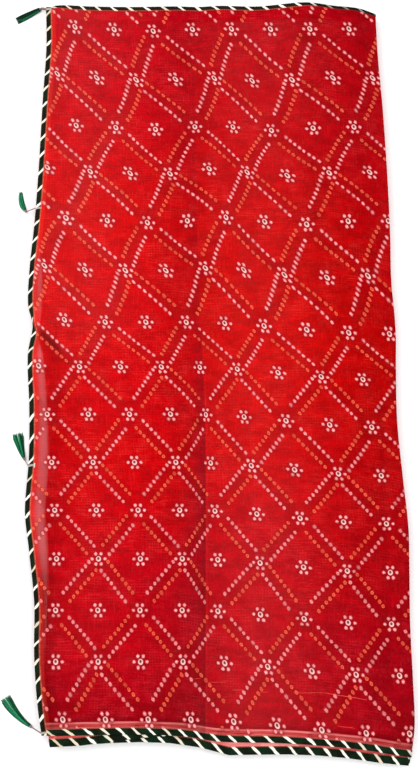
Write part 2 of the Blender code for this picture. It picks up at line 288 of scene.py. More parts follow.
# Cream stripes of the tapes, counted along each edge
END_STRIPES = columns(
    "at stripe",
    (600, -1.3), (562, 0), (437, 5), (246, 12), (112, 17), (44, 20), (-54, 24), (-148, 27), (-310, 33),
    (-524, 41), (-600, 43.9),
)
LOWER_STRIPES = columns(
    "at stripe",
    (-300, -3), (-220, 0), (-163, 2), (-73, 6), (19, 10), (97, 13), (158, 15), (277, 20), (330, 22.2),
)
SECOND_STRIPES = columns(
    "at stripe",
    (-300, -3.7), (-208, 0), (-159, 2), (-60, 6), (24, 9), (131, 13), (278, 19), (330, 21.1),
)
UPPER_STRIPES = columns(
    "at stripe",
    (-300, -2.3), (-245, 0), (-150, 4), (-16, 9), (116, 14), (266, 20), (320, 22.2),
)
# How far the stripes at each turn stand off from those that show, from the hidden end up
STRIPE_SLIPS = np.array([0.4, 0.9, 0.25, 0.7, 0.1, 0.55, 0.8, 0.0, 0.0, 0.0, 0.0])
TURNS_AT = (-250.0, 290.0)
# Where the upper tape rolls away towards its two corners: share, start and full, as shares of the width
TAPE_ROLLS = ((0.28, 0.74, 0.84), (0.45, 0.09, 0.03))
# Tape width, lean of the stripes in stripes per millimetre, half width of a cream stripe as a share
# of the step, how far the green leans to brown, and the stripe past which the tape turns nearly black
TAPES = dict(
    lower=Group(width=LOWER_BIND_WIDTH, slant=0.044, cream=0.104, brown=0.10, black_from=20.2),
    upper=Group(width=UPPER_BIND_WIDTH, slant=-0.048, cream=0.098, brown=0.45, black_from=15.6),
    end=Group(width=END_BIND_WIDTH, slant=0.040, cream=0.088, brown=0.20, black_from=60.0),
)

# Tassels: root height on the left edge, head, middle and end of the skirt on the floor, skirt widths,
# how far the skirt parts in two at its end, radius of the holding thread's plies, whether upright
# stitches stand beside the tape, and the material of the strands
TASSELS = table(
    "name root head middle end neck belly spread parting ply knot strands",
    ("tassel_upper_corner", 573, (-264, 580), (-281, 571), (-300, 561),
     6.2, 9.6, 9.6, 0.7, 1.05, False, "dark_tassel_strands"),
    ("tassel_upper_side", 246, (-280, 247), (-286, 259), (-288, 276),
     4.4, 8.2, 4.6, 0.0, 0.44, False, "tassel_strands"),
    ("tassel_lower_side", -152, (-273, -140), (-279, -123), (-284, -103),
     3.8, 10.0, 15.0, 0.7, 0.44, True, "tassel_strands"),
    ("tassel_lower_corner", -541, (-255, -532), (-275, -516), (-292, -493),
     4.4, 9.8, 14.6, 0.6, 0.55, False, "tassel_strands"),
)
THREADS = 150
STRANDS_PER_LOCK = 26.0
THREAD_RADIUS = Group(root=0.20, end=0.27)
HEAD_RISE = 1.95
SKIRT_RISE = 2.6
# Thickness of the bundle along the head, and the pale thread that is wound round it
BUNDLE = (0.35, 0.60, 0.80, 0.92, 0.98, 1.0, 1.0, 0.98, 0.95, 0.9)
BUNDLE_ENDS = (-3.2, 3.0)
WINDING = Group(turns=8, steps=14, start=-3.0, end=1.2, radius=0.24)

# Thick uneven yarns that lie in the weave near the lower edge, with X and Y of both ends
SLUBS = (
    (-17, -464, -7, -464), (2, -469, 30, -469), (38, -480, 54, -480), (79, -483, 92, -483),
    (127, -484, 172, -484), (172, -484, 234, -494), (190, -531, 216, -534),
)

# Colours on the screen's scale of 0 to 255
CLOTH = palette(
    scarlet=(208, 0, 1), crimson=(192, 0, 22), bright_scarlet=(240, 46, 38), bright_crimson=(230, 44, 58),
    dark_weft=(164, 0, 8), dark_warp=(160, 0, 8), dark_patch=(172, 0, 10), gaps=(150, 0, 10),
    hem=(196, 44, 52), hem_streak=(230, 104, 100), hem_line=(252, 140, 134), hem_shade=(136, 0, 18),
    end_hem=(246, 74, 40), end_line=(226, 128, 96), single=(224, 104, 108), veil=(255, 164, 160),
    sheen=(255, 120, 120),
)
# the dark red round the dots and petals is painted shadow
INK = palette(
    ground=(164, 0, 8), halo=(104, 0, 12), white_edge=(252, 116, 118), white=(255, 198, 200),
    orange_edge=(252, 94, 64), orange=(255, 140, 106), ring=(250, 186, 182), heart=(64, 18, 24),
)
TAPE = palette(
    dark_green=(4, 14, 6), green=(2, 36, 18), fibre=(20, 56, 34), brown=(44, 14, 10),
    faded_cream=(206, 188, 160), cream=(238, 234, 220), cream_fibre=(214, 210, 186),
    stitching=(196, 96, 78), black=(22, 10, 12),
)
FLOOR = palette(shade=(248, 248, 249), light=(251, 251, 251))
# Threads: dark, usual and brightest colour, roughness, share of metal and length of a twist in metres
THREAD_LOOKS = table(
    "name dark light bright rough metal twist",
    ("tassel_strands", (0, 56, 30), (0, 132, 78), (64, 192, 136), 0.5, 0.0, 0.0012),
    ("dark_tassel_strands", (0, 14, 6), (0, 92, 50), (44, 160, 108), 0.5, 0.0, 0.0012),
    ("pale_winding", (140, 138, 132), (236, 234, 226), (252, 250, 246), 0.4, 0.2, 0.0006),
    ("holding_thread", (130, 96, 92), (232, 208, 202), (250, 240, 236), 0.5, 0.1, 0.0009),
    ("white_stitch", (206, 196, 184), (250, 244, 232), (255, 252, 246), 0.7, 0.0, 0.0008),
    ("slub", (222, 70, 62), (250, 132, 114), (255, 150, 130), 0.8, 0.0, 0.0011),
)


# Shape of the folded pile


def curve(keys, values, at):
    """Values at many positions, on a smooth curve through two columns of a table."""
    if keys[0] > keys[-1]:
        keys = keys[::-1]
        values = values[::-1]
    before = np.maximum(np.arange(len(keys)) - 1, 0)
    after = np.minimum(np.arange(len(keys)) + 1, len(keys) - 1)
    slopes = (values[after] - values[before]) / (keys[after] - keys[before])
    at = np.clip(at, keys[0], keys[-1])
    i = np.clip(np.searchsorted(keys, at, side="right") - 1, 0, len(keys) - 2)
    span = keys[i + 1] - keys[i]
    f = (at - keys[i]) / span
    return (
        values[i] * (1 + 2 * f) * (1 - f) ** 2
        + slopes[i] * span * f * (1 - f) ** 2
        + values[i + 1] * f * f * (3 - 2 * f)
        - slopes[i + 1] * span * f * f * (1 - f)
    )


def soft(f):
    """Ease from 0 to 1."""
    f = np.clip(f, 0.0, 1.0)
    return f * f * (3 - 2 * f)


def between(start, full, at):
    """Ease from 0 at start to 1 at full, in either direction."""
    return soft((at - start) / (full - start))


def bell(value, centre, half):
    """Smooth hump, 1 at its centre."""
    return np.exp(-((value - centre) / half) ** 2)


def unit(vectors):
    return vectors / np.maximum(np.linalg.norm(vectors, axis=-1, keepdims=True), 1e-9)


def slip(layer, across):
    if layer == SECOND_EDGE:
        return curve(EDGES.across, EDGES.second, across)
    left = FOLDS.slip_left[layer]
    if layer == SLIDING_LAYER:
        return left * (1 - soft(across / SLIDE_SHARE))
    middle = FOLDS.slip_middle[layer]
    first = left + (middle - left) * soft(2 * across)
    second = middle + (FOLDS.slip_right[layer] - middle) * soft(2 * across - 1)
    return np.where(across < 0.5, first, second)


def tuck(layer, across):
    if layer in (TOP, SECOND_EDGE):
        return np.zeros_like(across)
    return TUCK * np.sin(np.pi * across)


def lower_edge(layer, across):
    return curve(EDGES.across, EDGES.lower, across) - slip(layer, across) + tuck(layer, across)


def upper_edge(layer, across):
    return curve(EDGES.across, EDGES.upper, across) - slip(layer, across) - tuck(layer, across)


def left_edge(layer, up):
    x = curve(SIDES.up, SIDES.left, up)
    if layer == TOP:
        return x
    return x + curve(SIDES.up, SIDES.under, up) + FOLDS.back_left[layer] + FOLD_REACH


def right_edge(layer, up):
    return curve(SIDES.up, SIDES.right, up) - FOLDS.back_right[layer] - FOLD_REACH


def crease_height(lines, x, y):
    """Sum of the soft lines of a table at each place."""
    total = np.zeros_like(x)
    for x0, y0, x1, y1, half, high in lines:
        run_x = x1 - x0
        run_y = y1 - y0
        f = np.clip(((x - x0) * run_x + (y - y0) * run_y) / (run_x ** 2 + run_y ** 2), 0.0, 1.0)
        away = np.hypot(x - x0 - run_x * f, y - y0 - run_y * f) / half
        total += high * np.exp(-away * away)
    return total


def pinch(up):
    """How far the end binding is turned under, from 0 to share, near the pinch on the left edge."""
    return PINCH.share * bell(up, PINCH.up, PINCH.half)


def layer_surface(layer, across, y, inset=0.0):
    """Middle surface of a layer: across and y are arrays of the same shape."""
    low = lower_edge(layer, across)
    high = upper_edge(layer, across)
    up = (y - low) / (high - low)
    left = left_edge(layer, up)
    start = left + inset
    right = right_edge(layer, up)
    if layer == TOP:
        lip = left + np.maximum(curve(SIDES.up, SIDES.under, up), LIP_LEAST)
        inner = np.maximum(across - LIP_SHARE, 0.0) / (1 - LIP_SHARE)
        x = start + (lip - start) * np.minimum(across / LIP_SHARE, 1.0) + (right - lip) * inner
    else:
        x = start + (right - start) * across
    swell = np.maximum(SWELL_BASE + crease_height(CREASES, x, y), 0.0)
    z = CLOTH_THICK / 2 + layer * (LAYER_PITCH + LOFT_PER_LAYER * swell / SWELL_BASE)
    if layer == TOP:
        past = np.maximum(left_edge(TOP - 1, up) - FOLD_REACH - x, 0.0)
        z = z - np.minimum(DROOP_CURVE * past * past, DROOP_LIMIT)
        share = between(*CREASE_ENDS.lower, y - low) * between(*CREASE_ENDS.upper, high - y)
        z = z + crease_height(FINE_CREASES, x, y) * share * between(*CREASE_ENDS.right, right - x)
        z = z + HEM_RIDGE.high * bell(y - low - LOWER_BIND_WIDTH, HEM_RIDGE.centre, HEM_RIDGE.half)
    return np.stack([x, y, z], axis=-1)


def folded_surface(rule, inset):
    """Points of a strip along all the folds, from the hidden end on, and the layer of each column.

    rule gives the Y rows of a layer from its two edges, and inset how far the top layer starts in.
    """
    top = np.unique(np.concatenate([np.linspace(*span) for span in TOP_SPANS]))
    lower = np.linspace(0.0, 1.0, LOWER_COLUMNS)
    blocks = []
    owners = []
    for layer in range(LAYERS):
        run = top if layer == TOP else lower
        run = run[::-1] if layer % 2 else run
        low = lower_edge(layer, run)
        high = upper_edge(layer, run)
        y = rule(layer, low, high, run)
        across = np.broadcast_to(run[:, None], y.shape)
        shift = inset((y - low[:, None]) / (high - low)[:, None], across) if layer == TOP else 0.0
        blocks.append(layer_surface(layer, across, y, shift))
        owners += [layer] * len(run)
        if layer == TOP:
            break
        ends = []
        for joined in (layer, layer + 1):
            last = run[-1:]
            y = rule(joined, lower_edge(joined, last), upper_edge(joined, last), last)
            ends.append(layer_surface(joined, np.full(y.shape, last), y))
        a, b = ends
        radius = (b[..., 2] - a[..., 2]) / 2
        outward = 1.0 if run[-1] else -1.0
        for step in range(1, TURN_STEPS):
            angle = math.pi * step / TURN_STEPS
            point = (a + b) / 2
            point[..., 0] += outward * radius * math.sin(angle)
            point[..., 2] -= radius * math.cos(angle)
            blocks.append(point)
            owners.append(layer + 1)
    return np.concatenate(blocks, axis=0), np.array(owners)


def end_edge(y, inset=0.0):
    """Points of the top layer along the tasselled end."""
    return layer_surface(TOP, np.zeros(len(y)), y, inset)


def run_length(points):
    """Length along rows of points, counted from the first."""
    gaps = np.linalg.norm(np.diff(points, axis=0), axis=-1)
    return np.concatenate([np.zeros_like(gaps[:1]), np.cumsum(gaps, axis=0)])


def link(name, data):
    """New object in the scene."""
    obj = bpy.data.objects.new(name, data)
    bpy.context.scene.collection.objects.link(obj)
    return obj


def mesh_object(name, points, faces):
    """Smooth mesh from points in millimetres."""
    mesh = bpy.data.meshes.new(name)
    mesh.from_pydata(points * MM, [], faces)
    mesh.update()
    mesh.polygons.foreach_set("use_smooth", np.ones(len(mesh.polygons), dtype=bool))
    return link(name, mesh)


def grid_object(name, points, closed=False):
    """Mesh from a grid of points. closed joins the last row to the first."""
    index = np.arange(points.size // 3).reshape(points.shape[:2])
    if closed:
        index = np.concatenate([index, index[:, :1]], axis=1)
    faces = np.stack([index[:-1, :-1], index[1:, :-1], index[1:, 1:], index[:-1, 1:]], axis=-1)
    return mesh_object(name, points.reshape(-1, 3), faces.reshape(-1, 4).tolist())


def add_map(obj, name, first, second):
    """UV map from two numbers for each vertex."""
    pairs = np.stack(np.broadcast_arrays(first, second), axis=-1).reshape(-1, 2)
    corners = np.zeros(len(obj.data.loops), dtype=np.int32)
    obj.data.loops.foreach_get("vertex_index", corners)
    obj.data.uv_layers.new(name=name).data.foreach_set("uv", pairs[corners].astype(np.float32).reshape(-1))


# The cloth


def print_place(x, y):
    """Column and row of the printed lattice at places of the top layer."""
    hang, taken, drawn = (
        bend.reach * between(*bend.down, y) * between(*bend.across, x)
        for bend in (ROW_HANG, TAKE_UP, DRAWN_OUT)
    )
    level = y + hang - crease_height(PRINT_SAG, x, y)
    row = curve(PRINT_ROWS.y, PRINT_ROWS.row, level)
    start = curve(PRINT_ROWS.y, PRINT_ROWS.column_x, level)
    side = taken * between(*TAKE_UP.gone, y) + drawn + crease_height(PRINT_SHIFT, x, y)
    sway = ROW_SWAY * np.sin(np.pi * row) * (1 - between(*SWAY_ENDS, row))
    return (x - start - side - sway) / COLUMN_PITCH, row


def tone_place(x, y):
    """Painted light and shade, crimson share and painted sheen of the cloth at places of the top layer."""
    away = (y - TONE.middle) / TONE.reach
    before = curve(PRESSED_LINE.y, PRESSED_LINE.x, y) - x
    share = curve(PRESSED_LINE.y, PRESSED_LINE.dark, y)
    shade = share * soft(before / LINE_SHADE.start) * np.exp(-np.maximum(before, 0.0) / LINE_SHADE.reach)
    glint = GLINT.share * share * between(*GLINT.ends, y) * bell(before, GLINT.x, GLINT.half)
    light = (TONE.light - TONE.drop * away * away) * (1 - shade + glint)
    light = light * (1 + crease_height(SHADES, x, y))
    crimson = TONE.crimson * soft(np.abs(away) / TONE.crimson_full) + LINE_SHADE.crimson * shade
    veil = np.maximum(crease_height(SHEEN_PATCHES, x, y) * (1 - LINE_SHADE.veil * shade), 0.0)
    return light, crimson, veil + GLINT.veil * glint


def see_through_share(x, y, up):
    """Where the top layer hangs past the turn below it, and so shows paler with painted light through it.
    """
    edge = left_edge(TOP - 1, up) - FOLD_REACH + SINGLE.widen * between(*SINGLE.widen_ends, y)
    share = soft((edge - x + 1.0) / SINGLE.ease) * between(*SINGLE.low_end, y)
    share = share * (1 - SINGLE.break_share * bell(y, *SINGLE.break_at))
    wave = SINGLE.wave * np.sin(y / SINGLE.wave_length)
    return share * (1 - SINGLE.wave + wave + SINGLE.bright_share * bell(y, *SINGLE.bright_at))


def make_cloth():
    fine = np.linspace(0.0, HEM_SPAN, HEM_ROWS)[:-1]
    steps = np.concatenate([fine, np.linspace(HEM_SPAN, 1.0, ROWS - len(fine))])
    below = LOWER_BIND_WIDTH - CLOTH_UNDER_TAPE.lower
    above = UPPER_BIND_WIDTH - CLOTH_UNDER_TAPE.upper

    def rule(layer, low, high, run):
        return low[:, None] + below + (high - above - low - below)[:, None] * steps[None, :]

    def inset(up, across):
        return (END_BIND_WIDTH - CLOTH_UNDER_TAPE.end) * (1 - pinch(up))

    points, owners = folded_surface(rule, inset)
    obj = grid_object("sari_sheet", points)
    x = points[..., 0]
    y = points[..., 1]
    on_top = (owners == TOP)[:, None]

    # length along the sari, counted from the right end of the top layer
    first_top = int(np.argmax(owners == TOP))
    length = run_length(points)
    length = length - length[first_top]

    # the lattice of the top layer, carried on evenly along the layers below
    column, row = print_place(x, y)
    column[:first_top] = column[first_top] - length[:first_top] / COLUMN_PITCH
    row[:first_top] = row[first_top]
    add_map(obj, "print", column, row)

    above_edge = run_length(points.transpose(1, 0, 2)).T
    add_map(obj, "weave", length * MM, above_edge[first_top] * MM)

    # distance above the lower binding, and distance in from the left end of the top layer
    from_end = np.clip(x - x[-1:] - CLOTH_UNDER_TAPE.end, *FROM_END_LIMITS)
    add_map(obj, "hem", (above_edge - CLOTH_UNDER_TAPE.lower) * MM, from_end * MM)

    # maps of painted light and shade with the crimson share, and of painted sheen with light through the
    # single layer
    light, crimson, veil = tone_place(x, y)
    light = np.where(on_top, light, UNDER_TONE.light)
    # painted sheen on the layers below, palest on their lower edges right of the fold line
    wear_and_sheen = UNDER_TONE.veil * bell(x, UNDER_TONE.x, UNDER_TONE.half) + UNDER_TONE.least
    up = (y - PANEL_FOOT) / PANEL_HEIGHT
    from_rim = np.maximum(right_edge(TOP, up) - x, 0.0)
    rim = RIM_SHADE.share * np.exp(-from_rim / RIM_SHADE.reach) * between(*RIM_SHADE.ends, y)
    add_map(obj, "tone", light * (1 - rim), crimson)
    add_map(obj, "veil", np.where(on_top, veil, wear_and_sheen), see_through_share(x, y, up) * on_top)

    width = above_edge[first_top, -1] * MM
    for name, print_share, top in (("reverse", 0.30, False), ("under", 1.0, False), ("top", 1.0, True)):
        obj.data.materials.append(cloth_material("cloth_" + name, print_share, top, width))
    use = np.where(owners[:-1] == TOP, 2, owners[:-1] % 2).astype(np.int32)
    obj.data.polygons.foreach_set("material_index", np.repeat(use, points.shape[1] - 1))
    return obj


# Materials


class Value:
    """A number of the node tree that takes part in sums."""

    def __init__(self, graph, socket):
        self.graph = graph
        self.socket = socket

    def __add__(self, other):
        return self.graph.math("ADD", self, other)

    def __sub__(self, other):
        return self.graph.math("SUBTRACT", self, other)

    def __rsub__(self, other):
        return self.graph.math("SUBTRACT", other, self)

    def __mul__(self, other):
        return self.graph.math("MULTIPLY", self, other)

    def __truediv__(self, other):
        return self.graph.math("DIVIDE", self, other)


class Graph:
    """The node tree of a new material, with short names for its nodes."""

    def __init__(self, name):
        self.material = bpy.data.materials.new(name)
        self.material.use_nodes = True
        self.tree = self.material.node_tree

    def feed(self, sockets, values):
        """Set or link sockets, each by its name or number."""
        for key, value in values.items():
            if isinstance(value, Value):
                self.tree.links.new(value.socket, sockets[key])
            else:
                sockets[key].default_value = value

    def node(self, kind, values, **settings):
        made = self.tree.nodes.new(kind)
        for key, value in settings.items():
            setattr(made, key, value)
        self.feed(made.inputs, values)
        return made

    def value(self, kind, values, output=0, **settings):
        return Value(self, self.node(kind, values, **settings).outputs[output])

    def finish(self, values, height=None, distance=0.0, strength=0.0):
        """Set the shader, with a bump where a height is given, and return the material."""
        if height is not None:
            bump = {"Height": height, "Distance": distance, "Strength": strength}
            values = {"Normal": self.value("ShaderNodeBump", bump), **values}
        self.feed(self.tree.nodes["Principled BSDF"].inputs, values)
        return self.material

    def math(self, operation, a, b=0.0, c=0.0):
        return self.value("ShaderNodeMath", {0: a, 1: b, 2: c}, operation=operation)

    round = partialmethod(math, "ROUND")
    floor = partialmethod(math, "FLOOR")
    size = partialmethod(math, "ABSOLUTE")
    zigzag = partialmethod(math, "PINGPONG")
    larger = partialmethod(math, "MAXIMUM")

    def most(self, *values):
        return reduce(self.larger, values)

    def length(self, a, b):
        return self.math("SQRT", a * a + b * b)

    def ramp(self, value, start, end, low=0.0, high=1.0):
        """Ease from low to high while the value goes from start to end."""
        ends = {"Value": value, "From Min": start, "From Max": end, "To Min": low, "To Max": high}
        return self.value("ShaderNodeMapRange", ends, "Result", interpolation_type="SMOOTHSTEP")

    def belt(self, value, start, full, fade, gone):
        """1 between full and fade, easing to 0 at start and at gone."""
        return self.ramp(value, start, full) * self.ramp(value, gone, fade)

    def map(self, name):
        """Both numbers of a UV map, and the map as a vector."""
        place = self.value("ShaderNodeUVMap", {}, uv_map=name)
        split = self.node("ShaderNodeSeparateXYZ", {0: place})
        return Value(self, split.outputs[0]), Value(self, split.outputs[1]), place

    def noise(self, vector, scale, detail=2.0, rough=0.5):
        look = {"Vector": vector, "Scale": scale, "Detail": detail, "Roughness": rough}
        return self.value("ShaderNodeTexNoise", look, "Fac", noise_dimensions="2D")

    def fibres(self, vector, x, y, detail=2.0, rough=0.5):
        """Noise with x and y repeats in a metre or a step of the map."""
        stretched = self.value("ShaderNodeMapping", {"Vector": vector, "Scale": (x, y, 1.0)})
        return self.noise(stretched, 1.0, detail, rough)

    def chance(self, a, b):
        """A fixed random number for each pair of whole numbers."""
        pair = self.value("ShaderNodeCombineXYZ", {0: a, 1: b})
        return self.value("ShaderNodeTexWhiteNoise", {"Vector": pair}, "Value", noise_dimensions="2D")

    def mix(self, share, a, b):
        return self.value("ShaderNodeMix", {0: share, 6: a, 7: b}, 2, data_type="RGBA")

    def paint(self, colour, *coats):
        """Coats over a colour, each a share and a colour of its own."""
        for share, coat in coats:
            colour = self.mix(share, colour, coat)
        return colour

    def scale(self, colour, factor):
        return self.value("ShaderNodeVectorMath", {0: colour, "Scale": factor}, operation="SCALE")


def flower_masks(g, column, row, ragged):
    """Petals, ring and heart of the flowers that stand at every crossing and centre of the lattice."""
    near_column = g.round(column)
    near_row = g.round(row)
    dx = (column - near_column) * COLUMN_PITCH
    dy = (row - near_row) * ROW_PITCH
    over = g.size(dx)
    tall = g.size(dy)
    beside = g.length(over - PETAL_SIDE, tall)
    pair = g.length(over - PETAL_PAIR[0], (tall - PETAL_PAIR[1]) * FLOWER_SQUASH)
    petal = g.math("MINIMUM", beside, pair) + ragged
    chance = g.chance(near_column + g.math("SIGN", dx) * 0.3, near_row + g.math("SIGN", dy) * 0.3)
    petals = g.ramp(petal, PETAL_RADIUS + 0.7, PETAL_RADIUS - 1.0) * g.ramp(chance, -1.1, 0.7)
    core = g.ramp(petal, PETAL_RADIUS - 0.2, 0.2)
    radius = g.length(dx, dy * FLOWER_SQUASH)
    ring = g.ramp(radius, RING_RADIUS + 0.5, RING_RADIUS - 0.5)
    heart_off = g.length(dx + 0.2, (dy + 0.6) * 0.8)
    heart = g.ramp(heart_off, HEART_RADIUS + 0.5, HEART_RADIUS - 0.7)
    # painted shadow round the petals and the ring
    halo = g.most(g.ramp(petal, PETAL_RADIUS + 1.5, PETAL_RADIUS + 0.3),
                  g.ramp(radius, RING_RADIUS + 1.8, RING_RADIUS))
    band = g.ramp(radius, 2 * RING_RADIUS + 7.0, 2 * RING_RADIUS + 1.5)
    return petals, core, ring, heart, halo, band


def line_masks(g, column, row, slant, ragged):
    """White and orange dots along one set of lattice lines: slant is 1 for falling lines, -1 for rising."""
    edge_length = math.hypot(COLUMN_PITCH, ROW_PITCH)
    gap = 2 * COLUMN_PITCH * ROW_PITCH / edge_length
    if slant > 0:
        off = (column - row) * 0.5
        along = (column + row) * 0.5
    else:
        off = (column + row) * 0.5
        along = (row - column) * 0.5
    off = off - g.round(off)
    run = g.floor(along)
    even = 1.0 - g.math("FLOORED_MODULO", g.floor(row), 2.0)
    right = g.math("GREATER_THAN", off, 0.0)
    white_side = g.math("COMPARE", right, even, 0.1)
    start = even * 0.06 + 0.145 + white_side * even * 0.022
    place = (along - run - start) / DOT_STEP
    number = g.math("MINIMUM", g.most(g.round(place), 0.0), DOTS_PER_LINE - 1.0)

    # each dot has its own place, size and wear
    chance = g.chance(run * 17.0 + (number + slant * 3.7), g.floor(column) + right * 0.37)
    wobble = (chance - 0.5) * 0.9
    stretch_along, stretch_off = (DOT_STRETCH, 1.0) if slant > 0 else (1.0, DOT_STRETCH)
    miss_along = (place - number) * (DOT_STEP * edge_length / stretch_along) + wobble
    miss_off = (g.size(off) * gap + wobble * 0.6 - LINE_OFFSET) * (1 / stretch_off)
    miss = g.length(miss_along, miss_off) * (chance * 0.2 + 0.9) + ragged
    white_dot = g.ramp(miss, DOT_RADIUS + 0.9, DOT_RADIUS - 0.9)
    orange_dot = g.ramp(miss, DOT_RADIUS + 0.6, DOT_RADIUS - 0.8)
    white_hollow = g.ramp(miss, 1.7, 0.5) * (chance * 0.3 + g.ramp(row, 6.0, 11.0) * 0.4)
    orange_hollow = g.ramp(miss, 2.1, 0.9) * (chance * 0.25 + 0.56)
    white = white_dot * white_side * (1.0 - white_hollow) * g.ramp(chance, -0.9, 0.8)
    orange = orange_dot * (1.0 - white_side) * (1.0 - orange_hollow) * g.ramp(chance, -0.8, 0.8)
    # painted shadow round each dot, set off to one side
    shadow = g.length(miss_along - 0.3, miss_off + 0.3)
    halo = g.ramp(shadow, DOT_RADIUS + 1.5, DOT_RADIUS) * (white_side * 0.45 + 0.55)
    halo = halo * g.ramp(miss, 0.8, 2.2)
    core = g.ramp(miss, DOT_RADIUS, 0.3)
    band = g.ramp(g.size(off) * gap, LINE_OFFSET + 5.0, LINE_OFFSET)
    return white, orange, halo, core, band


def cloth_material(name, print_share, on_top, cloth_width):
    """Sheer red check weave with a printed lattice of dotted lines and small flowers."""
    g = Graph(name)
    column, row, _ = g.map("print")
    along, across, weave = g.map("weave")
    hem, from_end, _ = g.map("hem")
    # painted light and shade with the crimson share, and painted sheen with painted light through the
    # single layer
    light, crimson, _ = g.map("tone")
    veil, single, _ = g.map("veil")

    def yarn(value, step, width):
        return g.ramp(g.zigzag(value, step / 2), width, width * 0.2)

    # streaks of uneven yarn both ways, and thicker yarns that make the check
    drift = g.noise(weave, 3.2, 2.0, 0.5)
    patch = g.noise(weave, 46.0, 3.0, 0.6)
    grain = g.noise(weave, 430.0, 2.0, 0.6)
    open_area = g.ramp(g.noise(weave, 16.0, 2.0, 0.6), 0.38, 0.62)
    mottle = g.fibres(weave, 30.0, 70.0, 3.0, 0.65)
    weft = g.fibres(weave, 42.0, 640.0, 3.0, 0.65)
    warp = g.fibres(weave, 560.0, 36.0, 3.0, 0.6)
    wavy = (patch - 0.5) * 0.0016
    check_across = yarn(across + wavy, *CHECK_ACROSS)
    check_along = yarn(along + wavy, *CHECK_ALONG)
    check = g.most(check_along, check_across)
    check_share = g.ramp(patch, 0.38, 0.66) * (open_area * 0.28 + 0.03)
    fine = g.most(yarn(along, *FINE_ALONG), yarn(across, *FINE_ACROSS))
    lean = g.ramp(drift, 0.35, 0.68, 0.0, 0.25) + crimson
    bright = g.mix(lean, CLOTH.bright_scarlet, CLOTH.bright_crimson)
    ground = g.paint(
        g.mix(lean, CLOTH.scarlet, CLOTH.crimson),
        (g.ramp(weft, 0.5, 0.78) * (open_area * 0.66 + 0.08), bright),
        (g.ramp(weft, 0.46, 0.22) * 0.4, CLOTH.dark_weft),
        (g.ramp(warp, 0.54, 0.8) * 0.34, bright),
        (g.ramp(warp, 0.44, 0.2) * 0.3, CLOTH.dark_warp),
        (g.ramp(patch, 0.45, 0.25) * 0.25, CLOTH.dark_patch),
        (check_across * check_share, bright),
        (check_along * (check_share * 0.8), bright),
        (fine * 0.05, CLOTH.gaps),
    )
    ground = g.scale(ground, g.ramp(mottle, 0.28, 0.72, 0.84, 1.14) * g.ramp(grain, 0.3, 0.7, 0.86, 1.14))

    # turned hem along the lower binding: a painted highlight on its raised line over a salmon band, painted
    # shade above
    band = g.belt(hem, *HEM_BAND)
    ridge = g.belt(hem, *HEM_HIGHLIGHT)
    rim = g.belt(hem, *HEM_EDGE_HIGHLIGHT)
    streak = g.fibres(weave, 34.0, 900.0)
    ground = g.paint(
        ground,
        (band * 0.8, g.mix(g.ramp(streak, 0.35, 0.7), CLOTH.hem, CLOTH.hem_streak)),
        (g.most(ridge, rim * 0.55) * g.ramp(streak, 0.25, 0.6, 0.45, 0.95), CLOTH.hem_line),
        # painted light showing through the single layer beside the end binding
        (single * g.ramp(from_end, 0.003, 0.014, 0.08, 0.62), CLOTH.single),
        (g.belt(hem, *HEM_SHADE) * 0.6, CLOTH.hem_shade),
    )

    # print, which darkens the ground that it stands on, with painted shadow round its dots and petals
    ragged = (grain - 0.5) * 2.2
    petals, core, ring, heart, halo, flower_band = flower_masks(g, column, row, ragged)
    white_a, orange_a, dot_shadow_a, core_a, band_a = line_masks(g, column, row, 1.0, ragged)
    white_b, orange_b, dot_shadow_b, core_b, band_b = line_masks(g, column, row, -1.0, ragged)
    printed = g.most(flower_band, band_a, band_b) * print_share
    core = g.most(core, core_a, core_b)
    # the print wears away in patches
    wear_and_sheen = g.ramp(patch, 0.2, 0.55, 0.7, 1.0) * print_share
    orange = g.most(orange_a, orange_b) * wear_and_sheen * g.ramp(hem, HEM_TOP, HEM_TOP + 0.0008)
    white = g.most(white_a, white_b, petals) * wear_and_sheen
    ring = ring * print_share
    # painted light and shade from the tone map dims the ground fully and the pale ink in part
    pale = g.scale(g.mix(core * 0.85, INK.white_edge, INK.white), light * 0.3 + 0.7)
    colour = g.paint(
        g.scale(g.mix(printed * 0.34, ground, INK.ground), light),
        (g.most(halo, dot_shadow_a, dot_shadow_b) * (0.66 * print_share), INK.halo),
        (orange * 0.92, g.mix(core, INK.orange_edge, INK.orange)),
        (white * 0.96, pale),
        (ring * 0.92, INK.ring),
        (heart * (0.9 * print_share), INK.heart),
    )

    # the doubled hem beside the end binding, with a pale thread line at its edge
    if on_top:
        broken = g.ramp(g.fibres(weave, 60.0, 160.0, 2.0, 0.6), 0.35, 0.6, 0.25, 1.0)
        end_line = g.belt(from_end, *END_LINE) * (broken * 0.5)
        colour = g.mix(end_line, colour, CLOTH.end_line)
        colour = g.mix(g.ramp(from_end, 0.0074, 0.005) * 0.1, colour, CLOTH.end_hem)
    # painted sheen over the colour, stronger on the printed bands
    values = {
        "Base Color": g.mix(veil * (printed * 0.5 + 0.8), colour, CLOTH.veil),
        "Roughness": 0.85,
        "Specular IOR Level": 0.01,
        "Sheen Weight": 0.01,
        "Sheen Roughness": 0.45,
        "Sheen Tint": CLOTH.sheen,
    }

    # open weave: clear between the yarns, closed where ink or a turned hem fills it
    if on_top:
        end_hem = g.ramp(from_end, 0.0105, 0.0055) * 0.9
        upper_hem = g.ramp(across, cloth_width - UPPER_HEM[0], cloth_width - UPPER_HEM[1])
        closed = g.most(white, orange, ring, upper_hem, band, end_hem)
        values["Alpha"] = 1.0 - (1.0 - closed) * ((1.0 - check) * 0.09 + 0.11)
    return g.finish(values, fine * 0.3 + (check * 0.35 + weft * 0.8), 0.00025, 0.25)


